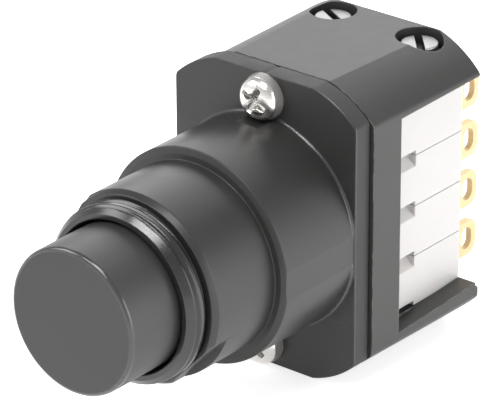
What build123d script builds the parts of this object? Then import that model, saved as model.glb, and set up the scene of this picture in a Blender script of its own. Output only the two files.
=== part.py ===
"""Three-position enabling switch: a round press-button in a threaded barrel, on a block of four contact modules.

Millimetres. +Y runs along the button's axis from the button to the solder tags, +Z is up.
The origin is on the button's axis, at the front face of the barrel where the mounting thread starts.
"""
import os
from math import cos, radians, sin

from build123d import *

os.makedirs("parts", exist_ok=True)

# Front housing: threaded stub, shoulder barrel, drum and plate, from front to rear
thread_d = 22.0
thread_len = 2.9
thread_chamfer = 0.7
stub_wall = 1.5
shoulder_step = 1.0
barrel_len = 11.0
barrel_edge = 0.4
barrel_edge_len = 0.8
drum_step = 1.6
drum_len = 13.0
drum_edge = 0.8
drum_edge_len = 0.25
plate_step = 0.05
plate_ear = 5.45
plate_t = 2.7
plate_bevel_x = 6.35
plate_bevel_z = 3.65
bevel_bulge = 0.5
side_corner = 0.8
web_t = 2.5
web_step = 0.5
chamber_wall = 3.0

# Two flats keep the barrel from turning in its panel
flat_depth = 0.95
flat_len = 3.0
flat_turns = (-43, 150)

# Press-button, its skirt and its central boss
button_clear = 0.4
button_proud = 8.1
button_edge = 0.5
button_wall = 1.7
button_face_t = 2.4
button_boss_len = 6.6
button_end_gap = 0.3

# Button stem
stem_d = 6.0
stem_nose_d = 4.9
stem_nose_gap = 0.2
collar_d = 12.0
collar_t = 1.5
spigot_d = 4.0
spigot_edge = 0.3
spigot_len = 7.6

# Travel: off, on and off again over the button's stroke
button_travel = 4.8
yoke_travel = 2.4

# Button seal
seal_side = 1.4
seal_gap = 0.05
seal_room = 0.2
seal_y = 5.0

# Guide bush of the stem
bush_d = 10.0
bush_flange_d = 14.0
bush_flange_t = 1.2
bush_tail = 3.2
stem_clear = 0.05
collar_gap = 0.3

# Springs
return_wire = 0.9
return_side_gap = 1.05
return_boss_gap = 0.25
return_turns = 6
stage_wire = 0.7
stage_inner = 3.45
stage_turns = 3.5
plunger_wire = 0.4
plunger_spring_r = 1.3
plunger_spring_turns = 3
spring_seat_gap = 0.05

# Yoke that passes the stem's push to the modules
yoke_w = 8.0
yoke_t = 2.0
yoke_reach = 0.2
yoke_corner = 1.5
hub_wall = 1.3
hub_len = 3.0
yoke_gap = 0.3

# Rear body: block, cover and lower plate in one C-shaped moulding, seated a little to the right of the button
body_shift = 0.5
body_bevel_x = 6.65
body_bevel_z = 4.1
body_flare_side = 0.35
body_flare_top = 0.9
body_facing = 0.02
block_t = 5.2
cover_len = 15.3
cover_lip = 0.7
cover_lip_rise = 0.4
cover_hollow_w = 2.4
cover_t = 5.65
base_extra = 0.5
base_rear_round = 0.5
sill_slope_h = 0.45
bay_gap = 0.05
bay_side_gap = 0.1

# Gasket between the plate and the block
gasket_t = 0.7
gasket_proud = 0.1
gasket_band = 1.2
gasket_side = 1.45
gasket_screw_gap = 0.3
gasket_corner = 4.0

# Cross-recess pan-head screws through the plate
front_screw_d = 3.0
front_head_d = 5.8
front_head_h = 2.3
front_head_rim = 0.05
front_head_round = 1.6
front_screw_len = 9.0
head_relief_gap = 0.2
head_relief_len = 3.4
cross_w = 0.75
cross_span = 3.0
cross_depth = 1.1
cross_taper = 12
cross_turns = (20, 52)
screw_clear = 0.1

# Slotted cheese-head screws that clamp the module stack
clamp_shift = 0.6
clamp_rear_wall = 0.15
clamp_d = 2.0
clamp_head_d = 4.6
clamp_head_h = 1.6
clamp_head_sink = 0.75
clamp_recess_d = 5.9
clamp_head_edge = 0.25
clamp_slot_w = 0.75
clamp_slot_depth = 0.7
clamp_slot_turns = (-28, -43)
insert_d = 4.0
insert_floor = 1.25
clamp_tip = 1.0

# Contact modules, stacked along Z
module_count = 4
module_gap = 0.08
module_side = 2.35
module_len = 16.0
case_wall = 1.2
case_side = 1.5
case_floor = 1.0
lid_t = 1.0
lid_gap = 0.05
module_round = 0.8
boss_wall = 0.3
boss_tag_gap = 0.05
notch_start = 3.2
notch_end = 6.2
notch_h = 1.4
notch_deep = 1.4
step_h = 0.6

# Module plungers and their bridges
nose_d = 3.2
nose_clear = 0.1
nose_gap = 0.1
plunger_w = 5.0
plunger_len = 6.0
plunger_side = 0.25
plunger_front_gap = 0.3
nose_edge = 0.4
spring_pocket = 1.0
bridge_t = 0.4
bridge_w = 1.0
bridge_back = 2.6
bridge_tip_h = 1.8
contact_gap = 0.1

# Solder tags
tag_side = 2.3
tag_lift = 0.15
tag_t = 0.8
tag_h = 4.7
tag_reach = 5.5
tag_corner = 1.5
eye_h = 2.9
eye_w = 2.1
eye_end = 0.9
strip_h = 2.4
strip_len = 11.9
dome_r = 0.6
dome_proud = 0.4

# Sizes across the axis that follow from the thread's, from the bore out to the plate
bore_d = thread_d - 2 * stub_wall
button_d = bore_d - 2 * button_clear
barrel_d = thread_d + 2 * shoulder_step
flat_reach = barrel_d / 2 - flat_depth
drum_d = barrel_d + 2 * drum_step
chamber_d = drum_d - 2 * chamber_wall
plate_w = drum_d + 2 * plate_step
plate_h = drum_d + 2 * plate_ear
half_plate = plate_h / 2
front_screw_z = half_plate - front_head_rim - front_head_d / 2
return_inner = button_d / 2 - button_wall - return_side_gap - return_wire
button_boss_d = 2 * (return_inner - return_boss_gap)

# Stations along the button's axis
thread_front = -thread_len
drum_front = barrel_len
plate_front = drum_front + drum_len
plate_rear = plate_front + plate_t
block_front = plate_rear + gasket_proud
block_rear = block_front + block_t
cover_rear = block_rear + cover_len
base_rear = cover_rear + base_extra
module_rear = block_rear + module_len
web_front = drum_front + web_step
web_rear = web_front + web_t
bush_rear = web_rear + bush_tail
collar_front = bush_rear + collar_gap
collar_rear = collar_front + collar_t
yoke_front = block_front + yoke_gap
yoke_rear = yoke_front + yoke_t
button_front = thread_front - button_proud
button_rear = web_front - button_travel - button_end_gap
button_seat = button_front + button_face_t
nose_front = yoke_rear + nose_gap
case_front = block_rear + case_wall
plunger_front = case_front + plunger_front_gap
plunger_rear = plunger_front + plunger_len
case_back = module_rear - case_wall

# Sizes of the rear body and its modules, which follow from the plate's
body_w = plate_w
body_h = plate_h
half_body = body_h / 2
rear_w = body_w + 2 * body_flare_side
rear_bevel_x = body_bevel_x + body_flare_side - body_flare_top
gasket_w = body_w - 2 * gasket_side
gasket_h = 2 * (front_screw_z - front_screw_d / 2 - gasket_screw_gap)
stack_h = body_h - 2 * cover_t
bay_h = stack_h + 2 * bay_gap
insert_len = cover_t - insert_floor
module_pitch = stack_h / module_count
module_h = module_pitch - module_gap
module_w = body_w - 2 * module_side
tag_x = module_w / 2 - tag_side
boss_r = clamp_d / 2 + screw_clear + boss_wall
clamp_x = tag_x - tag_t / 2 - boss_tag_gap - boss_r - clamp_shift
cavity_w = yoke_w + 2 * yoke_gap
yoke_h = (module_count - 1) * module_pitch + nose_d + 2 * yoke_reach
cavity_h = yoke_h + 2 * yoke_gap
clamp_y = cover_rear - clamp_rear_wall - clamp_recess_d / 2
clamp_xs = (body_shift + clamp_shift - clamp_x, body_shift + clamp_shift + clamp_x)
head_seat = half_body - clamp_head_sink - clamp_head_h
room_h = module_h - case_floor - lid_t
inner_w = module_w - 2 * case_side
inner_len = module_len - 2 * case_wall
module_zs = [((module_count - 1) / 2 - index) * module_pitch for index in range(module_count)]


def side_plane(y):
    """A drawing plane across the button's axis at station y: its x is the part's X, its y the part's Z."""
    return Plane(origin=(0, y, 0), x_dir=(1, 0, 0), z_dir=(0, -1, 0))


def bevelled(centre, width, height, bevel_x, bevel_z):
    """A rectangle whose corners are cut off by bevels that bulge a little, with rounded side corners."""
    half_w = width / 2
    half_h = height / 2
    right = [(half_w - bevel_x, -half_h), (half_w, bevel_z - half_h), (half_w, half_h - bevel_z), (half_w - bevel_x, half_h)]
    corners = [(centre + x, z) for x, z in right] + [(centre - x, -z) for x, z in right]
    with BuildSketch() as outline:
        with BuildLine():
            for index in (0, 2, 4, 6):
                SagittaArc(corners[index], corners[index + 1], -bevel_bulge)
                Line(corners[index + 1], corners[(index + 2) % 8])
        make_face()
        fillet(outline.vertices().filter_by(lambda v: abs(abs(v.X - centre) - half_w) < 0.001), radius=side_corner)
    return outline.sketch


def finish(piece, name):
    """Label a finished piece and write its file."""
    piece.part.label = name
    export_step(piece.part, f"parts/{name}.step")


# Front housing: one moulding, turned form first, then the plate, flats and screw holes
plate_outline = bevelled(0, plate_w, plate_h, plate_bevel_x, plate_bevel_z)
with BuildPart() as front_housing:
    with BuildSketch(Plane.XY) as turned:
        with BuildLine():
            Polyline(
                (bore_d / 2, thread_front),
                (thread_d / 2 - thread_chamfer, thread_front),
                (thread_d / 2, thread_front + thread_chamfer),
                (thread_d / 2, 0),
                (barrel_d / 2 - barrel_edge, 0),
                (barrel_d / 2, barrel_edge_len),
                (barrel_d / 2, drum_front),
                (drum_d / 2 - drum_edge, drum_front),
                (drum_d / 2, drum_front + drum_edge_len),
                (drum_d / 2, plate_front),
                (drum_d / 2, plate_rear),
                (chamber_d / 2, plate_rear),
                (chamber_d / 2, web_rear),
                (bush_d / 2, web_rear),
                (bush_d / 2, web_front),
                (bore_d / 2, web_front),
                close=True,
            )
        make_face()
    revolve(axis=Axis.Y)
    with BuildSketch(side_plane(plate_rear)):
        add(plate_outline)
    extrude(amount=plate_t)
    with BuildSketch(side_plane(plate_rear)):
        Circle(chamber_d / 2)
    extrude(amount=plate_rear - web_rear, mode=Mode.SUBTRACT)
    with Locations(side_plane(plate_front)):
        with Locations((0, front_screw_z), (0, -front_screw_z)):
            Hole(front_screw_d / 2 + screw_clear)
    with BuildSketch(side_plane(plate_front)):
        with Locations((0, front_screw_z), (0, -front_screw_z)):
            Circle(front_head_d / 2 + head_relief_gap)
    extrude(amount=head_relief_len, mode=Mode.SUBTRACT)
    seal_groove_r = button_d / 2 + seal_gap + seal_side + seal_gap
    with BuildSketch(Plane.XY):
        with Locations((0, seal_y)):
            Rectangle(seal_groove_r, seal_side + 2 * seal_room, align=(Align.MIN, Align.CENTER))
    revolve(axis=Axis.Y, mode=Mode.SUBTRACT)
    for turn in flat_turns:
        facing = (cos(radians(turn)), 0, sin(radians(turn)))
        flat_face = Plane(origin=[flat_reach * part for part in facing], x_dir=(0, 1, 0), z_dir=facing)
        with BuildSketch(flat_face):
            Rectangle(flat_len, barrel_d, align=(Align.MIN, Align.CENTER))
        extrude(amount=barrel_d, mode=Mode.SUBTRACT)
finish(front_housing, "front_housing")

# Button cap: a cup with a central boss, open at the rear
with BuildPart() as button_cap:
    with BuildSketch(Plane.XY):
        with BuildLine():
            Polyline(
                (0, button_front),
                (button_d / 2, button_front),
                (button_d / 2, button_rear),
                (button_d / 2 - button_wall, button_rear),
                (button_d / 2 - button_wall, button_seat),
                (button_boss_d / 2, button_seat),
                (button_boss_d / 2, button_seat + button_boss_len),
                (stem_nose_d / 2, button_seat + button_boss_len),
                (stem_nose_d / 2, button_seat + stem_nose_gap),
                (0, button_seat + stem_nose_gap),
                close=True,
            )
        make_face()
    revolve(axis=Axis.Y)
    fillet(button_cap.faces().sort_by(Axis.Y)[0].edges(), radius=button_edge)
finish(button_cap, "button_cap")

# Stem: nose in the cap, guided shank, collar and the spigot that carries the yoke
stem_shoulder = button_seat + button_boss_len
spigot_end = collar_rear + spigot_len
with BuildPart() as stem:
    with BuildSketch(Plane.XY):
        with BuildLine():
            Polyline(
                (0, button_seat + 2 * stem_nose_gap),
                (stem_nose_d / 2, button_seat + 2 * stem_nose_gap),
                (stem_nose_d / 2, stem_shoulder),
                (stem_d / 2, stem_shoulder),
                (stem_d / 2, collar_front),
                (collar_d / 2, collar_front),
                (collar_d / 2, collar_rear),
                (spigot_d / 2, collar_rear),
                (spigot_d / 2, spigot_end),
                (0, spigot_end),
                close=True,
            )
        make_face()
    revolve(axis=Axis.Y)
    chamfer(stem.faces().sort_by(Axis.Y)[-1].edges(), length=spigot_edge)
finish(stem, "stem")

# Rubber ring of square section that seals the button in the barrel
with BuildPart() as button_seal:
    with BuildSketch(Plane.XY):
        with Locations((button_d / 2 + seal_gap + seal_side / 2, seal_y)):
            Rectangle(seal_side, seal_side)
    revolve(axis=Axis.Y)
finish(button_seal, "button_seal")

# Flanged guide bush in the housing's web
with BuildPart() as guide_bush:
    with BuildSketch(Plane.XY):
        with BuildLine():
            Polyline(
                (stem_d / 2 + stem_clear, web_front),
                (bush_d / 2, web_front),
                (bush_d / 2, web_rear),
                (bush_flange_d / 2, web_rear),
                (bush_flange_d / 2, web_rear + bush_flange_t),
                (bush_d / 2, web_rear + bush_flange_t),
                (bush_d / 2, bush_rear),
                (stem_d / 2 + stem_clear, bush_rear),
                close=True,
            )
        make_face()
    revolve(axis=Axis.Y)
finish(guide_bush, "guide_bush")


def coil(centre, start, end, mean_r, wire, turns):
    """A helical spring along +Y, of square wire, between the stations start and end."""
    rise = end - start - wire - 2 * spring_seat_gap
    with BuildPart() as spring:
        foot = (centre[0], start + spring_seat_gap + wire / 2, centre[1])
        with BuildLine() as path:
            Helix(rise / turns, rise, mean_r, center=foot, direction=(0, 1, 0))
        with BuildSketch(path.line ^ 0):
            Rectangle(wire, wire)
        sweep(path=path.line, is_frenet=True)
    return spring


return_spring = coil((0, 0), button_seat, web_front, return_inner + return_wire / 2, return_wire, return_turns)
finish(return_spring, "return_spring")
stage_spring = coil((0, 0), collar_rear, yoke_front, stage_inner + stage_wire / 2, stage_wire, stage_turns)
finish(stage_spring, "stage_spring")

# Yoke: a crossbar with a hub that slides on the spigot
hub_bore_d = spigot_d + 2 * stem_clear
with BuildPart() as yoke:
    with BuildSketch(side_plane(yoke_rear)):
        RectangleRounded(yoke_w, yoke_h, yoke_corner)
    extrude(amount=yoke_t)
    with BuildSketch(side_plane(yoke_front)):
        Circle(hub_bore_d / 2 + hub_wall)
    extrude(amount=hub_len)
    with BuildSketch(side_plane(yoke_rear)):
        Circle(hub_bore_d / 2)
    extrude(amount=yoke_t + hub_len, mode=Mode.SUBTRACT)
finish(yoke, "yoke")

# Rear body: a bevelled bar that widens to the rear, faced flat above and below, with the module bay cut
# through it from side to side
body_middle = Plane(origin=(body_shift, 0, 0), x_dir=(0, 1, 0), z_dir=(1, 0, 0))
rough_h = body_h + 2 * body_facing
front_outline = bevelled(body_shift, body_w, rough_h, body_bevel_x, body_bevel_z)
rear_outline = bevelled(body_shift, rear_w, rough_h, rear_bevel_x, body_bevel_z)
with BuildPart() as body_housing:
    with BuildSketch(side_plane(block_front)):
        add(front_outline)
    with BuildSketch(side_plane(base_rear)):
        add(rear_outline)
    loft(ruled=True)
    split(bisect_by=Plane.XY.offset(half_body), keep=Keep.BOTTOM)
    split(bisect_by=Plane.XY.offset(-half_body), keep=Keep.TOP)
    with BuildSketch(body_middle):
        with Locations((block_rear, 0)):
            Rectangle(body_w, bay_h, align=(Align.MIN, Align.CENTER))
        with Locations((cover_rear, -bay_h / 2)):
            Rectangle(body_w, body_h, align=(Align.MIN, Align.MIN))
    extrude(amount=module_w / 2 + bay_side_gap, both=True, mode=Mode.SUBTRACT)
    for side in (-1, 1):
        with BuildSketch(body_middle.offset(side * (module_w / 2 + bay_side_gap))):
            Polygon(
                (block_rear, -bay_h / 2 - sill_slope_h),
                (cover_rear, -bay_h / 2 + sill_slope_h),
                (cover_rear, -bay_h / 2),
                (base_rear + base_extra, -bay_h / 2),
                (base_rear + base_extra, half_body),
                (cover_rear, half_body),
                (cover_rear, bay_h / 2),
                (block_rear, bay_h / 2),
                align=None,
            )
        extrude(amount=side * body_w, mode=Mode.SUBTRACT)
    lip_z = half_body - body_bevel_z - cover_lip
    lip_rise = Vector(0, cover_len, cover_lip_rise)
    with BuildSketch(Plane(origin=(0, block_rear, lip_z), x_dir=(1, 0, 0), z_dir=-lip_rise)):
        for side in (-1, 1):
            lip_x = body_shift + side * body_w / 2
            Polygon(
                (lip_x - side * cover_hollow_w, -lip_z),
                (lip_x - side * cover_hollow_w, bay_h / 2 - lip_z),
                (lip_x, 0),
                (lip_x + side, 0),
                (lip_x + side, -lip_z),
                align=None,
            )
    extrude(amount=-lip_rise.length, mode=Mode.SUBTRACT)
    base_edge = body_housing.edges().filter_by(Axis.X).group_by(Axis.Y)[-1].sort_by(Axis.Z)[-1]
    fillet(base_edge, radius=base_rear_round)
    with BuildSketch(side_plane(block_rear)):
        RectangleRounded(cavity_w, cavity_h, yoke_corner + yoke_gap)
    extrude(amount=block_t, mode=Mode.SUBTRACT)
    with BuildSketch(side_plane(plate_rear + gasket_t)):
        RectangleRounded(gasket_w, gasket_h, gasket_corner)
        RectangleRounded(
            gasket_w - 2 * gasket_band, gasket_h - 2 * gasket_band, gasket_corner - gasket_band, mode=Mode.SUBTRACT
        )
    extrude(amount=gasket_t, mode=Mode.SUBTRACT)
    with Locations(side_plane(block_front)):
        with Locations((0, front_screw_z), (0, -front_screw_z)):
            Hole(front_screw_d / 2, depth=front_screw_len)
    with Locations(Plane.XY.offset(half_body)):
        with Locations(*[(x, clamp_y) for x in clamp_xs]):
            CounterBoreHole(clamp_d / 2 + screw_clear, clamp_recess_d / 2, half_body - head_seat, half_body)
    with Locations(Plane.XY.offset(-bay_h / 2)):
        with Locations(*[(x, clamp_y) for x in clamp_xs]):
            Hole(insert_d / 2, depth=insert_len)
finish(body_housing, "body_housing")

# Gasket ring in the block's seat
with BuildPart() as body_gasket:
    with BuildSketch(side_plane(plate_rear + gasket_t)):
        RectangleRounded(gasket_w, gasket_h, gasket_corner)
        RectangleRounded(
            gasket_w - 2 * gasket_band, gasket_h - 2 * gasket_band, gasket_corner - gasket_band, mode=Mode.SUBTRACT
        )
    extrude(amount=gasket_t)
finish(body_gasket, "body_gasket")

# Pan-head screws with a cross recess
for name, side, turn in (("front_screw_upper", 1, cross_turns[0]), ("front_screw_lower", -1, cross_turns[1])):
    height = side * front_screw_z
    with BuildPart() as front_screw:
        with Locations(side_plane(plate_front + front_screw_len)):
            with Locations((0, height)):
                Cylinder(front_screw_d / 2, front_screw_len, align=(Align.CENTER, Align.CENTER, Align.MIN))
        with Locations(side_plane(plate_front)):
            with Locations((0, height)):
                Cylinder(front_head_d / 2, front_head_h, align=(Align.CENTER, Align.CENTER, Align.MIN))
        fillet(front_screw.faces().sort_by(Axis.Y)[0].edges(), radius=front_head_round)
        with BuildSketch(side_plane(plate_front - front_head_h)):
            with Locations((0, height)):
                Rectangle(cross_span, cross_w, rotation=turn)
                Rectangle(cross_span, cross_w, rotation=turn + 90)
        extrude(amount=-cross_depth, taper=cross_taper, mode=Mode.SUBTRACT)
    finish(front_screw, name)

# Cheese-head clamp screws, a pair, each with its own slot angle
shank_end = -bay_h / 2 - insert_len + clamp_tip
with BuildPart() as clamp_screws:
    for x in clamp_xs:
        with Locations((x, clamp_y, shank_end)):
            Cylinder(clamp_d / 2, head_seat - shank_end, align=(Align.CENTER, Align.CENTER, Align.MIN))
        with Locations((x, clamp_y, head_seat)):
            Cylinder(clamp_head_d / 2, clamp_head_h, align=(Align.CENTER, Align.CENTER, Align.MIN))
    chamfer(clamp_screws.faces().group_by(Axis.Z)[-1].edges(), length=clamp_head_edge)
    for x, turn in zip(clamp_xs, clamp_slot_turns):
        with BuildSketch(Plane.XY.offset(head_seat + clamp_head_h)):
            with Locations((x, clamp_y)):
                Rectangle(2 * clamp_head_d, clamp_slot_w, rotation=turn)
        extrude(amount=-clamp_slot_depth, mode=Mode.SUBTRACT)
finish(clamp_screws, "clamp_screws")

# Brass inserts in the lower plate, a pair
with BuildPart() as clamp_inserts:
    with BuildSketch(Plane.XY.offset(-bay_h / 2)):
        with Locations(*[(x, clamp_y) for x in clamp_xs]):
            Circle(insert_d / 2)
            Circle(clamp_d / 2, mode=Mode.SUBTRACT)
    extrude(amount=-insert_len)
finish(clamp_inserts, "clamp_inserts")

# The contact modules, numbered from the top
room_floor = case_floor - module_h / 2
lid_seat = module_h / 2 - lid_t
middle = (room_floor + lid_seat) / 2
plunger_h = room_h - 2 * plunger_side
bridge_y = plunger_rear - bridge_back
tip_reach = tag_x - tag_t / 2 - dome_proud - contact_gap
clamp_spots = [(x - body_shift, clamp_y) for x in clamp_xs]
for number, level in enumerate(module_zs, start=1):
    floor_plane = Plane(origin=(body_shift, 0, level), z_dir=(0, 0, 1))
    spot = (body_shift, level + middle)

    # Case: a tray with screw bosses, a hole for the plunger's nose, slots for the tags, and on each side
    # a step in its lower edge and, except on the top module, a notch in its upper one
    with BuildPart() as contact_case:
        with BuildSketch(floor_plane.offset(-module_h / 2)):
            with Locations((0, block_rear)):
                Rectangle(module_w, module_len, align=(Align.CENTER, Align.MIN))
        extrude(amount=module_h)
        fillet(contact_case.edges().filter_by(Axis.Z).group_by(Axis.Y)[-1], radius=module_round)
        with BuildSketch(floor_plane.offset(room_floor)):
            with Locations((0, case_front)):
                Rectangle(inner_w, inner_len, align=(Align.CENTER, Align.MIN))
        extrude(amount=module_h, mode=Mode.SUBTRACT)
        with BuildSketch(floor_plane.offset(room_floor)):
            with Locations(*clamp_spots):
                Circle(boss_r)
        extrude(amount=room_h)
        with BuildSketch(floor_plane.offset(-module_h / 2)):
            with Locations(*clamp_spots):
                Circle(clamp_d / 2 + screw_clear)
        extrude(amount=module_h, mode=Mode.SUBTRACT)
        with BuildSketch(side_plane(case_front)):
            with Locations(spot):
                Circle(nose_d / 2 + nose_clear)
        extrude(amount=case_wall, mode=Mode.SUBTRACT)
        with BuildSketch(side_plane(module_rear)):
            with Locations(spot):
                with Locations((-tag_x, 0), (tag_x, 0)):
                    Rectangle(tag_t, strip_h)
        extrude(amount=case_wall, mode=Mode.SUBTRACT)
        notch_top = level + module_h / 2
        if number > 1:
            with BuildSketch(side_plane(block_rear + notch_end)):
                for side in (-1, 1):
                    wall_x = body_shift + side * module_w / 2
                    deep_x = wall_x - side * notch_deep
                    Polygon((wall_x, notch_top - notch_h), (wall_x, notch_top), (deep_x, notch_top), align=None)
            extrude(amount=notch_end - notch_start, mode=Mode.SUBTRACT)
        with BuildSketch(floor_plane.offset(-module_h / 2)):
            with Locations((-module_w / 2, block_rear), (module_w / 2, block_rear)):
                Rectangle(2 * notch_deep, 2 * notch_end)
        extrude(amount=step_h, mode=Mode.SUBTRACT)
    finish(contact_case, f"contact_case_{number}")

    # Lid: a plate let in between the case's walls, on its screw bosses
    with BuildPart() as contact_lid:
        with BuildSketch(floor_plane.offset(lid_seat)):
            with Locations((0, case_front + lid_gap)):
                Rectangle(inner_w - 2 * lid_gap, inner_len - 2 * lid_gap, align=(Align.CENTER, Align.MIN))
            with Locations(*clamp_spots):
                Circle(clamp_d / 2 + screw_clear, mode=Mode.SUBTRACT)
        extrude(amount=lid_t)
    finish(contact_lid, f"contact_lid_{number}")

    # Plunger: a nose through the front wall and a body that carries the bridge and seats its spring
    with BuildPart() as plunger:
        with BuildSketch(side_plane(plunger_rear)):
            with Locations(spot):
                Rectangle(plunger_w, plunger_h)
        extrude(amount=plunger_len)
        with BuildSketch(side_plane(plunger_front)):
            with Locations(spot):
                Circle(nose_d / 2)
        extrude(amount=plunger_front - nose_front)
        chamfer(plunger.faces().sort_by(Axis.Y)[0].edges(), length=nose_edge)
        with BuildSketch(floor_plane.offset(middle - bridge_t / 2)):
            with Locations((0, bridge_y)):
                Rectangle(plunger_w, bridge_w)
        extrude(amount=bridge_t, mode=Mode.SUBTRACT)
        with BuildSketch(side_plane(plunger_rear)):
            with Locations(spot):
                Circle(plunger_spring_r + plunger_wire)
        extrude(amount=spring_pocket, mode=Mode.SUBTRACT)
    finish(plunger, f"plunger_{number}")

    # Bridge: a strip through the plunger, with tips that wipe past the domes on the tags
    with BuildPart() as bridge:
        with BuildSketch(floor_plane.offset(middle - bridge_t / 2)):
            with Locations((0, bridge_y)):
                Rectangle(2 * tip_reach, bridge_w)
        extrude(amount=bridge_t)
        with BuildSketch(floor_plane.offset(middle - bridge_tip_h / 2)):
            with Locations((bridge_t / 2 - tip_reach, bridge_y), (tip_reach - bridge_t / 2, bridge_y)):
                Rectangle(bridge_t, bridge_w)
        extrude(amount=bridge_tip_h)
    finish(bridge, f"contact_bridge_{number}")

    spring_front = plunger_rear - spring_pocket
    plunger_spring = coil(spot, spring_front, case_back, plunger_spring_r, plunger_wire, plunger_spring_turns)
    finish(plunger_spring, f"plunger_spring_{number}")

    # Solder tags: an eye outside, a strip through the rear wall and a coined dome inside
    for side, hand in ((-1, "left"), (1, "right")):
        with BuildPart() as tag:
            with BuildSketch(Plane.YZ.offset(body_shift + side * tag_x - tag_t / 2)):
                with Locations((module_rear, level + middle)):
                    Rectangle(strip_len, strip_h, align=(Align.MAX, Align.CENTER))
                with Locations((module_rear, level + middle + tag_lift)):
                    Rectangle(tag_reach, tag_h, align=(Align.MIN, Align.CENTER))
                with Locations((module_rear + tag_reach - eye_end - eye_w / 2, level + middle + tag_lift)):
                    SlotOverall(eye_h, eye_w, rotation=90, mode=Mode.SUBTRACT)
            extrude(amount=tag_t)
            fillet(tag.edges().filter_by(Axis.X).group_by(Axis.Y)[-1], radius=tag_corner)
            with Locations((body_shift + side * (tag_x - tag_t / 2), bridge_y + yoke_travel / 2, level + middle)):
                Cylinder(dome_r, 2 * dome_proud, rotation=(0, 90, 0))
        finish(tag, f"tag_{hand}_{number}")
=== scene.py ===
"""Enabling switch, dressed for its photograph: finishes, moulded edges, thread, screws and springs.

The construction comes from model.glb and stays as it is. This script gives its nodes their finishes, and
puts finer pieces in place of the front moulding, the screws and the springs, whose thread, rounded edges,
drive recesses and coils are more than the construction holds. Lengths are in metres. The button's axis is
Y, and angles round it are counted from +X towards +Z.
"""

from math import atan2, cos, degrees, pi, radians, sin

import bpy
import numpy as np
from mathutils import Matrix, Vector


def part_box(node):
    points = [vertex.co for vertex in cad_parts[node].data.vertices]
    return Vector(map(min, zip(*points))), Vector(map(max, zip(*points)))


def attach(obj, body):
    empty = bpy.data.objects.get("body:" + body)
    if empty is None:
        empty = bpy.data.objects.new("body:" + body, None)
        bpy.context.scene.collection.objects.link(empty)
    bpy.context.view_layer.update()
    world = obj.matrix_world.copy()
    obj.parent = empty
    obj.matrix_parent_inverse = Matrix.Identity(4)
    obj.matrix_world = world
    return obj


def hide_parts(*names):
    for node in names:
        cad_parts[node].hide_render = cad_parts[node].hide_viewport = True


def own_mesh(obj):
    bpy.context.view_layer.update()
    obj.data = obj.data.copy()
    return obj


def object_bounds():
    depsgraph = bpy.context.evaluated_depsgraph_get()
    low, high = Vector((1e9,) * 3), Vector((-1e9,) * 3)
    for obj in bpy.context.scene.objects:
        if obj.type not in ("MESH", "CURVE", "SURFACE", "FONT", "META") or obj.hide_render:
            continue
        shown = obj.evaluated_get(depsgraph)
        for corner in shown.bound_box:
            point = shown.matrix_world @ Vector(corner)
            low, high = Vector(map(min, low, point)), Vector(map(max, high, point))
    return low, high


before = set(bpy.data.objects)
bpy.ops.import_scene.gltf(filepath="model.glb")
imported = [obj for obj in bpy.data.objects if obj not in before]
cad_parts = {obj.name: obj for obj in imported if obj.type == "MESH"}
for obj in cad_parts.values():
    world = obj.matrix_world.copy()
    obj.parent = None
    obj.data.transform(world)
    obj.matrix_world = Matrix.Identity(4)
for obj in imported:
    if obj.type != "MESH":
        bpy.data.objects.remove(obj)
CAD_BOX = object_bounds()
MM = 0.001

# Shared by the shapes
FAR = 1.0  # a distance or radius beyond all the others
ENDS_ONLY = 1.0  # a step so long that a straight run keeps only its two ends
CREASE = 0.02 * MM  # how far the rows on both sides of a crisp step keep from it
TIP_R = 1e-6  # radius at which a turned or drawn piece closes
SOFT_EDGE = 40  # degrees up to which an edge is shaded smooth

# Front moulding
MOULDING_COLUMNS = 600
MOULDING_SOFT_EDGE = 48
STUB_FRONT = -2.9 * MM
STUB_END = -0.005 * MM
STUB_R = 11.0 * MM
STUB_ROUND = 0.25 * MM
STUB_WALL = 0.25 * MM
RIM_R = 10.2 * MM
RIM_ROUND = 0.15 * MM
RIM_SLOPE = 45
BORE_R = 9.5 * MM
BORE_ROUND = 0.2 * MM
BARREL_R = 12.0 * MM
BARREL_EDGE = 0.4 * MM
BARREL_EDGE_LEN = 0.8 * MM
BARREL_SLOPE = degrees(atan2(BARREL_EDGE, BARREL_EDGE_LEN))
BARREL_FRONT_ROUND = 0.12 * MM
BARREL_SIDE_ROUND = 0.3 * MM
BARREL_FOOT_ROUND = 0.1 * MM
# Painted shade over the barrel's front slope: its strength, and where it ends along Y
BARREL_PAINTED_SHADE = 0.15
BARREL_PAINTED_SHADE_END = 0.7 * MM
DRUM_FRONT = 11.0 * MM
DRUM_R = 13.6 * MM
DRUM_EDGE = 0.8 * MM
DRUM_EDGE_LEN = 0.25 * MM
DRUM_SLOPE = degrees(atan2(DRUM_EDGE, DRUM_EDGE_LEN))
DRUM_FRONT_ROUND = 0.3 * MM
DRUM_SIDE_ROUND = 0.15 * MM
FOOT_FILLET = 0.4 * MM
PLATE_FRONT = 24.0 * MM
PLATE_REAR = 26.7 * MM
PLATE_BEVEL_X = 6.35 * MM
PLATE_BEVEL_Z = 3.65 * MM
PLATE_BULGE = 0.5 * MM
PLATE_VERTEX = 0.3 * MM
PLATE_EDGE = 0.18 * MM
WEB_FRONT = 11.5 * MM
WEB_REAR = 14.0 * MM
WEB_HOLE_R = 5.0 * MM
CHAMBER_R = 10.6 * MM
FLAT_REACH = 11.05 * MM
FLAT_LEN = 3.0 * MM
FLAT_TURNS = (radians(-43), radians(150))

# Thread of the stub. The crest and the wall between crest and root are shares of half a pitch.
THREAD_PITCH = 1.5 * MM
THREAD_DEPTH = 0.42 * MM
THREAD_PHASE = 0.04
THREAD_CREST = 0.35
THREAD_FLANK = 0.6

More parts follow.
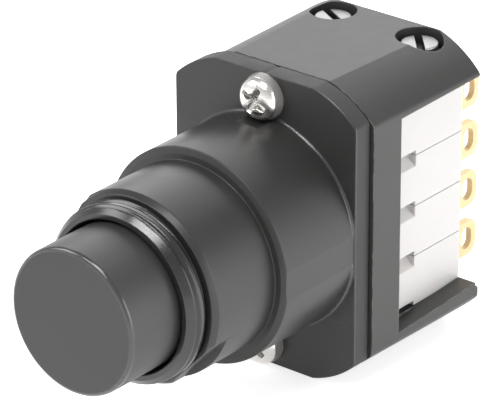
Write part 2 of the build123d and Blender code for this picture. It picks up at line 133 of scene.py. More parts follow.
# Pan-head screws of the plate
FRONT_SCREW_Z = 16.1 * MM
FRONT_HEAD_R = 2.9 * MM
FRONT_CROWN_R = 2.7 * MM
FRONT_HEAD_H = 2.3 * MM
FRONT_HEAD_RIM = 1.1 * MM
FRONT_HEAD_FOOT = 0.1 * MM
FRONT_SHANK_R = 1.5 * MM
FRONT_SHANK_LEN = 9.0 * MM
HEAD_RELIEF_R = 3.1 * MM
HEAD_RELIEF_LEN = 3.4 * MM
CROSS_TURNS = (-25, 52)
CROSS_REACH = 2.0 * MM
CROSS_END = 0.35 * MM
CROSS_W = 0.75 * MM
CROSS_WALL = 0.2 * MM
CROSS_DEPTH = 0.9 * MM
CROSS_TAPER = 0.25
CROSS_CONE_R = 1.0 * MM
CROSS_CONE_WALL = 0.45 * MM
CROSS_CONE_DEPTH = 0.8 * MM
CROSS_FLOOR = 0.4 * MM
# Strength of the painted shade in the cross recess
CROSS_PAINTED_SHADE = 0.45

# Slotted screws of the cover
CLAMP_HEAD_R = 2.3 * MM
CLAMP_HEAD_H = 1.6 * MM
CLAMP_HEAD_ROUND = 0.2 * MM
CLAMP_SHANK_R = 1.0 * MM
SLOT_TURNS = (-30, -48)
SLOT_W = 0.9 * MM
SLOT_WALL = 0.05 * MM
SLOT_DEPTH = 0.8 * MM
SLOT_FLOOR = 0.1 * MM

# Screws of both kinds
SCREW_COLUMNS = 192
# Recess depth at which its painted shade is full
RECESS_SHADE_DEPTH = 0.3 * MM

# Springs: wire, turns, body that carries the fixed end, joint that shortens it and share of length kept
SPRING_STEPS = 48
SPRING_SIDES = 12
SPRINGS = {
    "return_spring": (0.9 * MM, 6, "housing", "button_press", 0.76),
    "stage_spring": (0.7 * MM, 3.5, "button", "button_press", 0.7),
    "plunger_spring_1": (0.4 * MM, 3, "housing", "carriage_slide", 0.705),
    "plunger_spring_2": (0.4 * MM, 3, "housing", "carriage_slide", 0.705),
    "plunger_spring_3": (0.4 * MM, 3, "housing", "carriage_slide", 0.705),
    "plunger_spring_4": (0.4 * MM, 3, "housing", "carriage_slide", 0.705),
}

# Surface detail: scales of the noises, lie of the scratches, and the values between which an effect sets in
BEVEL_SAMPLES = 6
MOTTLE_SCALE = 110.0
PATCH_SCALE = 700.0
SCRATCH_TURN = (0.4, 0.9, 0.3)
SCRATCH_SCALE = (220, 5200, 2600)
SCRATCH_START = (0.68, 0.74)
SCRATCHED_START = (0.5, 0.62)
BENT_START = (0.985, 0.86)
BROKEN_START = (0.42, 0.6)
SCRATCH_COLOUR = 0.5
SCRATCH_ROUGHNESS = 0.2
SCRATCH_DEPTH = 0.6
ZONE_SOFTNESS = 0.1 * MM

# Finishes: base colour and edge colour (wear and painted highlight), then what differs from the surface group
# and the shader
FINISHES = {
    "moulded_black": dict(
        base=(0.0235, 0.023, 0.0225), edge=(0.30, 0.29, 0.28), roughness=0.36, roughness_spread=0.04,
        mottle=0.16, grain_size=0.0003, grain=0.12, scratches=0.15, edge_wear_and_highlight=0.35, edge_radius=0.00012,
        coat_roughness=0.2),
    "satin_black": dict(
        base=(0.029, 0.0283, 0.0277), edge=(0.30, 0.29, 0.27), roughness=0.42, roughness_spread=0.04,
        mottle=0.16, grain_size=0.0003, grain=0.15, scratches=0.2, edge_wear_and_highlight=0.6, edge_radius=0.0002),
    "matt_grey": dict(
        base=(0.033, 0.0325, 0.032), edge=(0.2, 0.2, 0.2), roughness=0.42, roughness_spread=0.03, mottle=0.1,
        grain_size=0.00022, grain=0.3, scratches=0.1, edge_wear_and_highlight=0.2, edge_radius=0.0002, coat_roughness=0.12),
    "white_moulding": dict(
        base=(0.57, 0.555, 0.548), edge=(0.72, 0.70, 0.69), roughness=0.42, roughness_spread=0.05,
        mottle=0.04, grain_size=0.0003, grain=0.2, scratches=0.1, edge_wear_and_highlight=0.3, edge_radius=0.00025,
        translucent=0.1),
    "bright_nickel": dict(
        base=(0.82, 0.80, 0.77), edge=(0.9, 0.89, 0.86), metallic=1.0, roughness=0.2, roughness_spread=0.08,
        mottle=0.4, grain_size=0.00025, grain=0.5, scratches=0.5, edge_wear_and_highlight=0.5, edge_radius=0.00008,
        bump=0.00003),
    "dull_zinc": dict(
        base=(0.36, 0.36, 0.36), edge=(0.7, 0.7, 0.69), metallic=1.0, roughness=0.42, roughness_spread=0.1,
        mottle=0.4, grain_size=0.0003, grain=0.6, scratches=0.8, edge_wear_and_highlight=0.4, edge_radius=0.0001,
        bump=0.00003),
    "gold_plate": dict(
        base=(0.72, 0.54, 0.3), edge=(0.78, 0.64, 0.42), metallic=0.35, roughness=0.45, roughness_spread=0.06,
        mottle=0.12, grain_size=0.0003, grain=0.4, scratches=0.4, edge_wear_and_highlight=0.4, edge_radius=0.00012),
    "rubber": dict(
        base=(0.012, 0.012, 0.012), edge=(0.012, 0.012, 0.012), roughness=0.65, mottle=0.2, grain_size=0.0002,
        grain=0.8, edge_radius=0.0001),
    "natural_nylon": dict(
        base=(0.62, 0.58, 0.48), edge=(0.7, 0.67, 0.58), roughness=0.4, mottle=0.08, grain_size=0.0003,
        grain=0.3, edge_radius=0.00015, translucent=0.15),
    "red_moulding": dict(
        base=(0.42, 0.03, 0.02), edge=(0.6, 0.1, 0.08), roughness=0.4, mottle=0.1, grain_size=0.0003,
        grain=0.3, edge_radius=0.00012),
    "drawn_steel": dict(
        base=(0.5, 0.5, 0.5), edge=(0.8, 0.8, 0.8), metallic=1.0, roughness=0.28, mottle=0.2,
        grain_size=0.0003, grain=0.4, scratches=0.6, edge_radius=0.00005),
    "brass": dict(
        base=(0.68, 0.48, 0.18), edge=(0.9, 0.75, 0.4), metallic=1.0, roughness=0.32, mottle=0.2,
        grain_size=0.0003, grain=0.4, scratches=0.4, edge_radius=0.00008),
}
TRANSLUCENT_DEPTH = 0.002

# Finish of each node of the construction, by its name or the start of its name
CAD_FINISHES = {
    "button_cap": "matt_grey", "body_housing": "satin_black", "front_housing": "moulded_black",
    "stem": "natural_nylon", "button_seal": "rubber", "body_gasket": "rubber", "guide_bush": "natural_nylon",
    "yoke": "natural_nylon", "return_spring": "drawn_steel", "stage_spring": "drawn_steel",
    "clamp_inserts": "brass", "front_screw_upper": "bright_nickel", "front_screw_lower": "bright_nickel",
    "clamp_screws": "dull_zinc", "contact_case": "white_moulding", "contact_lid": "white_moulding",
    "plunger_spring": "drawn_steel", "plunger": "red_moulding", "contact_bridge": "drawn_steel",
    "tag": "gold_plate",
}

# Zones that wear or shade sets apart: finish, limits of the zone, and what differs there. A later one wins.
WEAR_ZONES = (
    # The stub, which the nut has polished
    ("moulded_black", dict(end_y=0.02 * MM),
     {"Roughness": 0.2, "Base": (0.012, 0.0117, 0.0114, 1), "Coat Weight": 0.45}),
    # The plate's side and rear
    ("moulded_black", dict(start_y=PLATE_FRONT + 0.1 * MM), {"Roughness": 0.55}),
    # The plate's front edge
    ("moulded_black", dict(start_y=PLATE_FRONT + 0.06 * MM, end_y=PLATE_FRONT + 0.15 * MM),
     {"Roughness": 0.25, "Coat Weight": 1.0}),
    # The fillet at the drum's foot
    ("moulded_black", dict(start_y=PLATE_FRONT - FOOT_FILLET, end_y=PLATE_FRONT - 0.02 * MM,
                           inner_radius=DRUM_R, outer_radius=DRUM_R + FOOT_FILLET),
     {"Roughness": 0.18, "Grain": 0.0, "Coat Weight": 0.65}),
    # The dull rim of the pan heads, its colour darkened as a painted reflection of the dark plate
    ("bright_nickel", dict(start_y=PLATE_FRONT - FRONT_HEAD_RIM, end_y=PLATE_FRONT),
     {"Roughness": 0.5, "Metallic": 0.7, "Base": (0.33, 0.32, 0.31, 1)}),
    # The bore round the button, in shade
    ("moulded_black", dict(outer_radius=BORE_R + 0.08 * MM),
     {"Base": (0.014, 0.012, 0.011, 1), "Roughness": 0.7, "Coat Weight": 0.0}),
    # The button's rubbed edge
    ("matt_grey", dict(end_y=-10.55 * MM, inner_radius=8.6 * MM),
     {"Roughness": 0.12, "Grain": 0.0, "Coat Weight": 0.75}),
)

# Table, which brightens across the switch for all rays but the camera's
TABLE_REACH = 3.0
TABLE_ROUGHNESS = 0.7
TABLE_WAY = (1, 1.6, 0)
TABLE_SPAN = 0.2
TABLE_GLOW = (0.18, 0.64)
TABLE_WHITE = (0.75, 0.93)
TABLE_GLOW_SEEN = 0.66
TABLE_WHITE_SEEN = 0.93

# Surroundings: strength of their light at the horizon, and overhead from the given rise of the direction
AMBIENT_LOW = 0.95
AMBIENT_HIGH = 0.5
AMBIENT_RISE = 0.6
BACKDROP = 1.0

# Soft boxes: place, target, width and height, and power in watts
LIGHTS = {
    "top_box": ((0.1, -0.15, 0.8), (0, 0.03, 0), (0.3, 0.18), 2.1),
    "front_strip": ((-0.03, -0.57, 0.7), (0, 0, 0), (0.6, 0.11), 3.4),
    "rear_box": ((-0.3, 0.75, 0.45), (0, 0.03, 0), (0.9, 0.6), 3.6),
    "right_box": ((0.85, 0.25, 0.05), (0, 0.03, 0), (0.8, 0.9), 5.8),
    "left_box": ((-0.55, -0.42, 0.45), (0, 0, 0), (0.4, 0.4), 2.3),
}

# Camera, set by fitting the plate, barrel and body edges of the photograph
CAMERA_TARGET = Vector((0, PLATE_FRONT, 0))
CAMERA_AZIMUTH = radians(38.972)
CAMERA_ELEVATION = radians(25.142)
CAMERA_ROLL = radians(-0.175)
CAMERA_DISTANCE = 0.4786
CAMERA_ASIDE = (0.0036177, -0.0047807)
CAMERA_LENS = 288.65
CAMERA_SENSOR = 36.0
CAMERA_NEAR = 0.01


def grid_faces(rows, columns, closed_rows=False):
    """Quads between neighbouring rows and columns of a grid whose columns close on themselves."""
    row = np.arange(rows if closed_rows else rows - 1)[:, None]
    column = np.arange(columns)[None, :]
    next_row = (row + 1) % rows
    next_column = (column + 1) % columns
    corners = [row * columns + column, next_row * columns + column,
               next_row * columns + next_column, row * columns + next_column]
    return np.stack([np.broadcast_to(c, (row.size, columns)) for c in corners], -1).reshape(-1, 4)


def add_mesh(name, points, faces, soft_edge=SOFT_EDGE, painted_shade=None):
    """A smooth mesh object, with edges sharper than the given angle kept crisp.

    A value from 0 to 1 for each point says how much painted shade its colour takes, in grooves, recesses and
    on the barrel's slope, and its material darkens by it.
    """
    mesh = bpy.data.meshes.new(name)
    mesh.from_pydata(points.reshape(-1, 3).tolist(), [], faces.tolist())
    mesh.validate()
    mesh.polygons.foreach_set("use_smooth", np.ones(len(mesh.polygons), bool))
    mesh.set_sharp_from_angle(angle=radians(soft_edge))
    mesh.update()
    if painted_shade is not None:
        values = mesh.attributes.new("painted_shade", "FLOAT", "POINT").data
        values.foreach_set("value", painted_shade.ravel().astype(np.float32))
    piece = bpy.data.objects.new(name, mesh)
    bpy.context.scene.collection.objects.link(piece)
    weights = piece.modifiers.new("face_normals", "WEIGHTED_NORMAL")
    weights.keep_sharp = True
    return piece


def arc(centre, radius, start, end, steps):
    """Points on a circle from one angle to another, in degrees, as (along, out) pairs."""
    turn = np.radians(np.linspace(start, end, steps))
    return np.stack([centre[0] + radius * np.cos(turn), centre[1] + radius * np.sin(turn)], -1)


def run(start, end, step):
    """Points on a straight line, both ends included, no further apart than the step."""
    count = max(2, int(np.ceil(np.hypot(end[0] - start[0], end[1] - start[1]) / step)) + 1)
    return np.linspace(start, end, count)


def corner(point, before, after, radius, steps=6):
    """Points of a profile's rounded corner, where its way turns from one direction to another, in degrees.

    The arc's centre lies radius / cos(half the turn) from the corner, along the mean of the two normals.
    """
    side = 1 if after < before else -1
    away = side * radius / cos(radians(after - before) / 2)
    middle = radians((before + after) / 2 + 90)
    normal = np.radians(np.linspace(before, after, steps) + 90)
    along = point[0] - away * cos(middle) + side * radius * np.cos(normal)
    out = point[1] - away * sin(middle) + side * radius * np.sin(normal)
    return np.stack([along, out], -1)


def plate_outline(turns):
    """Distance from the axis to the plate's outline at each angle.

    It is the smallest of three distances along the ray: reach / cosine for the side and for the top, and
    the far crossing b + sqrt(b^2 - c) of the circle that bulges over the corner. Where side and circle come
    within h of each other the smaller one loses (h - gap)^2 / 4h, which rounds the vertex. The cosines are
    kept over 0.01, so that no reach is endless.
    """
    half_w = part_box("front_housing")[1][0]
    half_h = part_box("front_housing")[1][2]
    along, up = np.abs(np.cos(turns)), np.abs(np.sin(turns))
    side = half_w / np.maximum(along, 0.01)
    top = half_h / np.maximum(up, 0.01)
    chord = np.hypot(PLATE_BEVEL_X, PLATE_BEVEL_Z)
    bulge_r = (chord ** 2 / 4 + PLATE_BULGE ** 2) / (2 * PLATE_BULGE)
    inward = (bulge_r - PLATE_BULGE) / chord
    centre_x = half_w - PLATE_BEVEL_X / 2 - inward * PLATE_BEVEL_Z
    centre_z = half_h - PLATE_BEVEL_Z / 2 - inward * PLATE_BEVEL_X
    half_b = along * centre_x + up * centre_z
    bevel = half_b + np.sqrt(half_b ** 2 - centre_x ** 2 - centre_z ** 2 + bulge_r ** 2)
    blend = np.maximum(PLATE_VERTEX - np.abs(side - bevel), 0)
    return np.minimum(np.minimum(side, bevel) - blend ** 2 / (4 * PLATE_VERTEX), top)


def head_relief(turns):
    """Distance from the axis to the near side of the two round reliefs for the screw heads.

    It is the near crossing b - sqrt(b^2 - c) of the relief's circle, and far off where the ray misses it.
    """
    half_b = np.abs(np.sin(turns)) * FRONT_SCREW_Z
    root = half_b ** 2 - FRONT_SCREW_Z ** 2 + HEAD_RELIEF_R ** 2
    return np.where(root > 0, half_b - np.sqrt(np.maximum(root, 0)), FAR)


def thread_cut(y, turns):
    """Depth of the thread's groove under the stub's surface.

    The groove follows the phase y / pitch + angle / one turn. Its depth is a smoothed step of how far the
    phase lies from the middle of the crest, so crests are broad and grooves narrow.
    """
    phase = (y / THREAD_PITCH + turns / (2 * pi) + THREAD_PHASE) % 1.0
    groove = np.clip((np.abs(2 * phase - 1) - THREAD_CREST) / THREAD_FLANK, 0, 1)
    return THREAD_DEPTH * groove * groove * (3 - 2 * groove)


def turned_rows():
    """Rows of the moulding from its web through the bore, over stub, barrel and drum to the plate's foot.

    They are (along, radius) pairs: arcs at the corners, and straight runs that stop short of a corner by
    what its arc takes up.
    """
    rim_end = STUB_FRONT + STUB_R - RIM_R
    drum_side = DRUM_FRONT + DRUM_EDGE_LEN
    relief_front = PLATE_FRONT - HEAD_RELIEF_LEN
    foot = PLATE_FRONT - FOOT_FILLET - 0.1 * MM
    return np.concatenate([
        run((WEB_REAR, WEB_HOLE_R), (WEB_FRONT, WEB_HOLE_R), ENDS_ONLY),
        run((WEB_FRONT, BORE_R), (STUB_FRONT + 0.25 * MM, BORE_R), 6 * MM),
        corner((STUB_FRONT, BORE_R), 180, 90, BORE_ROUND),
        corner((STUB_FRONT, RIM_R), 90, RIM_SLOPE, RIM_ROUND),
        run((STUB_FRONT + 0.08 * MM, RIM_R + 0.08 * MM), (rim_end - 0.12 * MM, STUB_R - 0.12 * MM), 0.1 * MM),
        corner((rim_end, STUB_R), RIM_SLOPE, 0, STUB_ROUND),
        run((rim_end + 0.17 * MM, STUB_R), (-0.01 * MM, STUB_R), 0.045 * MM),
        run((0, STUB_R - 0.05 * MM), (0, BARREL_R - BARREL_EDGE - 0.1 * MM), 0.3 * MM),
        corner((0, BARREL_R - BARREL_EDGE), 90, BARREL_SLOPE, BARREL_FRONT_ROUND),
        corner((BARREL_EDGE_LEN, BARREL_R), BARREL_SLOPE, 0, BARREL_SIDE_ROUND),
        run((BARREL_EDGE_LEN + 0.2 * MM, BARREL_R), (FLAT_LEN - CREASE, BARREL_R), 0.6 * MM),
        run((FLAT_LEN + CREASE, BARREL_R), (DRUM_FRONT - 0.2 * MM, BARREL_R), 3 * MM),
        corner((DRUM_FRONT, BARREL_R), 0, 90, BARREL_FOOT_ROUND),
        corner((DRUM_FRONT, DRUM_R - DRUM_EDGE), 90, DRUM_SLOPE, DRUM_FRONT_ROUND),
        corner((drum_side, DRUM_R), DRUM_SLOPE, 0, DRUM_SIDE_ROUND),
        run((drum_side + 0.2 * MM, DRUM_R), (relief_front - CREASE, DRUM_R), 3 * MM),
        run((relief_front + CREASE, DRUM_R), (foot, DRUM_R), 1 * MM),
        corner((PLATE_FRONT, DRUM_R), 0, 90, FOOT_FILLET, 9),
    ])


def front_moulding():
    """The threaded stub, barrel, drum and plate as one closed polar grid.

    Each row has a place along the axis and a radius. Rows of the plate have the outline's radius less an
    inset instead. The thread, the flats and the reliefs for the screw heads then take material away from
    the rows they cross. Rows further out than the bore and its least wall are the outside.
    """
    turned = turned_rows()
    edges = np.concatenate([
        arc((PLATE_FRONT + PLATE_EDGE, PLATE_EDGE), PLATE_EDGE, 180, 270, 5),
        arc((PLATE_REAR - PLATE_EDGE, PLATE_EDGE), PLATE_EDGE, 270, 360, 5),
    ])
    chamber = run((PLATE_REAR, CHAMBER_R), (WEB_REAR, CHAMBER_R), ENDS_ONLY)
    along = np.concatenate([turned[:, 0], edges[:, 0], chamber[:, 0]])
    out = np.concatenate([turned[:, 1], np.full(len(edges), FAR), chamber[:, 1]])
    inset = np.concatenate([np.full(len(turned), PLATE_EDGE), edges[:, 1], np.full(len(chamber), PLATE_EDGE)])

    turns = np.arange(MOULDING_COLUMNS) * 2 * pi / MOULDING_COLUMNS
    radius = np.minimum(out[:, None], plate_outline(turns)[None, :] - inset[:, None])
    y = np.repeat(along[:, None], MOULDING_COLUMNS, axis=1)
    least = BORE_R + STUB_WALL
    outer = (out > least)[:, None]
    on_stub = outer & (y < STUB_END) & (y > STUB_FRONT)
    threaded = np.maximum(STUB_R - thread_cut(y, turns[None, :]), least)
    # Painted shade in the thread's grooves, darker where a groove is deeper
    painted_shade = np.where(on_stub, np.clip((radius - threaded) / THREAD_DEPTH, 0, 1) ** 2, 0)
    radius = np.where(on_stub, np.minimum(radius, threaded), radius)
    # Painted shade darkens the barrel's front slope
    painted_shade = np.where(outer & (y > CREASE) & (y < BARREL_PAINTED_SHADE_END), BARREL_PAINTED_SHADE, painted_shade)
    on_relief = outer & (out < FAR)[:, None] & (y > PLATE_FRONT - HEAD_RELIEF_LEN)
    radius = np.where(on_relief, np.minimum(radius, head_relief(turns)), radius)
    on_flat = outer & (y > STUB_END) & (y < FLAT_LEN)
    for turn in FLAT_TURNS:
        facing = np.cos(turns - turn)
        reach = np.where(facing > 0.5, FLAT_REACH / np.maximum(facing, 0.5), FAR)
        radius = np.where(on_flat, np.minimum(radius, reach[None, :]), radius)
    points = np.stack([radius * np.cos(turns), y, radius * np.sin(turns)], -1)
    faces = grid_faces(len(along), MOULDING_COLUMNS, closed_rows=True)
    return add_mesh("front_moulding", points, faces, MOULDING_SOFT_EDGE, painted_shade)


def cross_recess(across, along):
    """Depth of a cross recess at a point of the head: four tapering wings round a deeper cone.

    A wing's depth falls from its full depth at the middle by the taper times the way out. It ends over the
    recess's end, and its walls lean out. The cone's depth rises to its own over its wall.
    """
    deep = 0
    for side, reach in ((np.abs(across), np.abs(along)), (np.abs(along), np.abs(across))):
        walls = np.clip((CROSS_W / 2 + CROSS_WALL / 2 - side) / CROSS_WALL, 0, 1)
        end = np.clip((CROSS_REACH - reach) / CROSS_END, 0, 1)
        deep = np.maximum(deep, walls * end * (CROSS_DEPTH - CROSS_TAPER * reach))
    cone = np.clip((CROSS_CONE_R - np.hypot(across, along)) / CROSS_CONE_WALL, 0, 1)
    return np.maximum(deep, CROSS_CONE_DEPTH * cone)


def slot_recess(across, along):
    """Depth of a straight slot right across the head, with walls that lean out a little."""
    return SLOT_DEPTH * np.clip((SLOT_W / 2 + 0.03 * MM - np.abs(across)) / SLOT_WALL, 0, 1)


def screw(centre, facing, profile, floor, recess, turn):
    """A turned screw whose rows run from the middle of its head to its tip, with a drive recess in the head.

    profile holds (height along the axis towards the driver, radius). The recess lowers what stands above
    its floor: height = min(height, top of the head there - recess depth).
    """
    turns = np.arange(SCREW_COLUMNS) * 2 * pi / SCREW_COLUMNS
    height = np.repeat(profile[:, :1], SCREW_COLUMNS, axis=1)
    radius = np.repeat(profile[:, 1:], SCREW_COLUMNS, axis=1)
    x = radius * np.cos(turns)
    z = radius * np.sin(turns)
    along = x * cos(turn) + z * sin(turn)
    across = z * cos(turn) - x * sin(turn)
    depth = recess(across, along)
    cut = np.maximum(profile[:, :1].max() - depth, floor)
    # Painted shade in the drive recess, rising with its depth
    painted_shade = np.where((height > cut) & (height > floor), np.clip(depth / RECESS_SHADE_DEPTH, 0, 1), 0)
    height = np.where(height > floor, np.minimum(height, cut), height)
    facing = np.array(facing, float)
    right = np.array((1.0, 0.0, 0.0))
    up = np.cross(facing, right)
    points = np.array(centre) + height[..., None] * facing + x[..., None] * right + z[..., None] * up
    faces = grid_faces(len(profile), SCREW_COLUMNS)
    return points.reshape(-1, 3), faces, painted_shade.ravel()


def pan_profile():
    """Rows of a pan-head screw: a dome that steepens to a slightly tapered rim, then the shank.

    The dome's height over the rim is (1 - out^3.2)^0.6 of its full height. Rows lie closer near the rim.
    """
    out = np.concatenate([np.linspace(0.001, 0.7, 70), np.sin(np.linspace(0.79, pi / 2, 26))])
    rise = (FRONT_HEAD_H - FRONT_HEAD_RIM) * (1 - out ** 3.2) ** 0.6
    dome = np.stack([FRONT_HEAD_RIM + rise, FRONT_CROWN_R * out], -1)
    shank = np.array([(FRONT_HEAD_FOOT, FRONT_HEAD_R), (0, FRONT_HEAD_R), (0, FRONT_SHANK_R),
                      (-FRONT_SHANK_LEN, FRONT_SHANK_R), (-FRONT_SHANK_LEN, TIP_R)])
    return np.concatenate([dome, shank])


def cheese_profile(shank_len):
    """Rows of a cheese-head screw: a flat top, a rounded rim and an upright side, then the shank."""
    flat_r = CLAMP_HEAD_R - CLAMP_HEAD_ROUND - 0.05 * MM
    side_h = CLAMP_HEAD_H - CLAMP_HEAD_ROUND - 0.05 * MM
    top = np.stack([np.full(80, CLAMP_HEAD_H), np.linspace(TIP_R, flat_r, 80)], -1)
    rim = arc((CLAMP_HEAD_H - CLAMP_HEAD_ROUND, CLAMP_HEAD_R - CLAMP_HEAD_ROUND), CLAMP_HEAD_ROUND, 10, 90, 7)
    side = run((side_h, CLAMP_HEAD_R), (0, CLAMP_HEAD_R), 0.1 * MM)
    shank = np.array([(0, CLAMP_SHANK_R), (-shank_len, CLAMP_SHANK_R), (-shank_len, TIP_R)])
    return np.concatenate([top, rim, side, shank])


def front_screws():
    """The two pan-head screws of the plate, each with the name of the node that it stands for."""
    made = []
    for name, side, turn in zip(("front_screw_upper", "front_screw_lower"), (1, -1), CROSS_TURNS):
        points, faces, painted_shade = screw((0, PLATE_FRONT, side * FRONT_SCREW_Z), (0, -1, 0), pan_profile(),
                                    CROSS_FLOOR, cross_recess, radians(turn))
        made.append((add_mesh(name + "_dressed", points, faces, painted_shade=CROSS_PAINTED_SHADE * painted_shade), name))
    return made


def clamp_screws():
    """The pair of slotted screws sunk in the cover, in one mesh."""
    low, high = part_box("clamp_screws")
    seat = high[2] - CLAMP_HEAD_H
    middle_y = (low[1] + high[1]) / 2
    points = []
    faces = []
    painted_shades = []
    for x, turn in zip((low[0] + CLAMP_HEAD_R, high[0] - CLAMP_HEAD_R), SLOT_TURNS):
        some, quads, painted_shade = screw((x, middle_y, seat), (0, 0, 1), cheese_profile(seat - low[2]),
                                  SLOT_FLOOR, slot_recess, radians(turn))
        faces.append(quads + sum(len(part) for part in points))
        points.append(some)
        painted_shades.append(painted_shade)
    points, faces, painted_shade = (np.concatenate(parts) for parts in (points, faces, painted_shades))
    return add_mesh("clamp_screws_dressed", points, faces, painted_shade=painted_shade)


def spring(name, wire, turns):
    """A compression spring of round wire, wound like the node that it stands for.

    Its middle line is (r cos a, y, r sin a), where a falls from a quarter turn by one turn a coil and y rises
    evenly. The wire is a circle across that line, drawn to a point at both ends.
    """
    low, high = (np.array(end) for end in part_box(name))
    radius = (high[0] - low[0] - wire) / 2
    share = np.linspace(0, 1, int(turns * SPRING_STEPS) + 1)
    angle = pi / 2 - 2 * pi * turns * share
    outward = np.stack([np.cos(angle), np.zeros(len(angle)), np.sin(angle)], -1)
    line = (low + high) / 2 + radius * outward
    line[:, 1] = low[1] + wire / 2 + (high[1] - low[1] - wire) * share
    tangent = np.gradient(line, axis=0)
    across = np.cross(tangent, outward)
    across /= np.linalg.norm(across, axis=1)[:, None]
    around = np.linspace(0, 2 * pi, SPRING_SIDES, endpoint=False)[None, :, None]
    circle = np.cos(around) * outward[:, None] + np.sin(around) * across[:, None]
    thick = np.full(len(share) + 2, wire / 2)
    thick[[0, -1]] = TIP_R
    rows = np.r_[0, np.arange(len(share)), len(share) - 1]
    points = line[rows][:, None] + thick[:, None, None] * circle[rows]
    return add_mesh(name + "_dressed", points, grid_faces(len(rows), SPRING_SIDES))


def value_group(name, inputs, outputs):
    """A shader node group with named inputs (name, type, default) and outputs (name, type)."""
    group = bpy.data.node_groups.new(name, "ShaderNodeTree")
    for label, kind, default in inputs:
        socket = group.interface.new_socket(label, in_out="INPUT", socket_type="NodeSocket" + kind)
        socket.default_value = default
    for label, kind in outputs:
        group.interface.new_socket(label, in_out="OUTPUT", socket_type="NodeSocket" + kind)
    return group, group.nodes.new("NodeGroupInput"), group.nodes.new("NodeGroupOutput")


def node(tree, kind, links=(), **settings):
    """Adds a node. Settings are its attributes, and links are (input name or number, socket or value)."""
    made = tree.nodes.new("ShaderNode" + kind)
    for key, value in settings.items():
        setattr(made, key, value)
    for key, value in links:
        if isinstance(value, bpy.types.NodeSocket):
            tree.links.new(value, made.inputs[key])
        else:
            made.inputs[key].default_value = value
    return made


def maths(tree, operation, first, second, clamp=False):
    """Output of one sum, difference, product, quotient or maximum."""
    return node(tree, "Math", ((0, first), (1, second)), operation=operation, use_clamp=clamp).outputs[0]


def vector_maths(tree, operation, output, *links):
    """One output of a sum on vectors or colours."""
    return node(tree, "VectorMath", links, operation=operation).outputs[output]


def noise(tree, place, scale, detail, roughness=0.5):
    """Height of a noise, about 0.5 on average."""
    links = (("Vector", place), ("Scale", scale), ("Detail", detail), ("Roughness", roughness))
    return node(tree, "TexNoise", links).outputs[0]


def swing(tree, value, amount):
    """How far a noise swings from its middle, times the amount."""
    return maths(tree, "MULTIPLY", maths(tree, "SUBTRACT", value, 0.5), amount)


def ramp(tree, value, start, end, low=0.0, high=1.0, kind="LINEAR"):
    """Value that goes from low to high while the given one goes from start to end."""
    links = (("Value", value), ("From Min", start), ("From Max", end), ("To Min", low), ("To Max", high))
    return node(tree, "MapRange", links, interpolation_type=kind).outputs[0]


def mix_values(tree, share, first, second):
    """Value that goes from the first to the second with the share."""
    return node(tree, "Mix", ((0, share), (2, first), (3, second)), data_type="FLOAT").outputs[0]


def mix_colours(tree, share, first, second):
    """Colour that goes from the first to the second with the share."""
    return node(tree, "Mix", ((0, share), (6, first), (7, second)), data_type="RGBA").outputs[2]


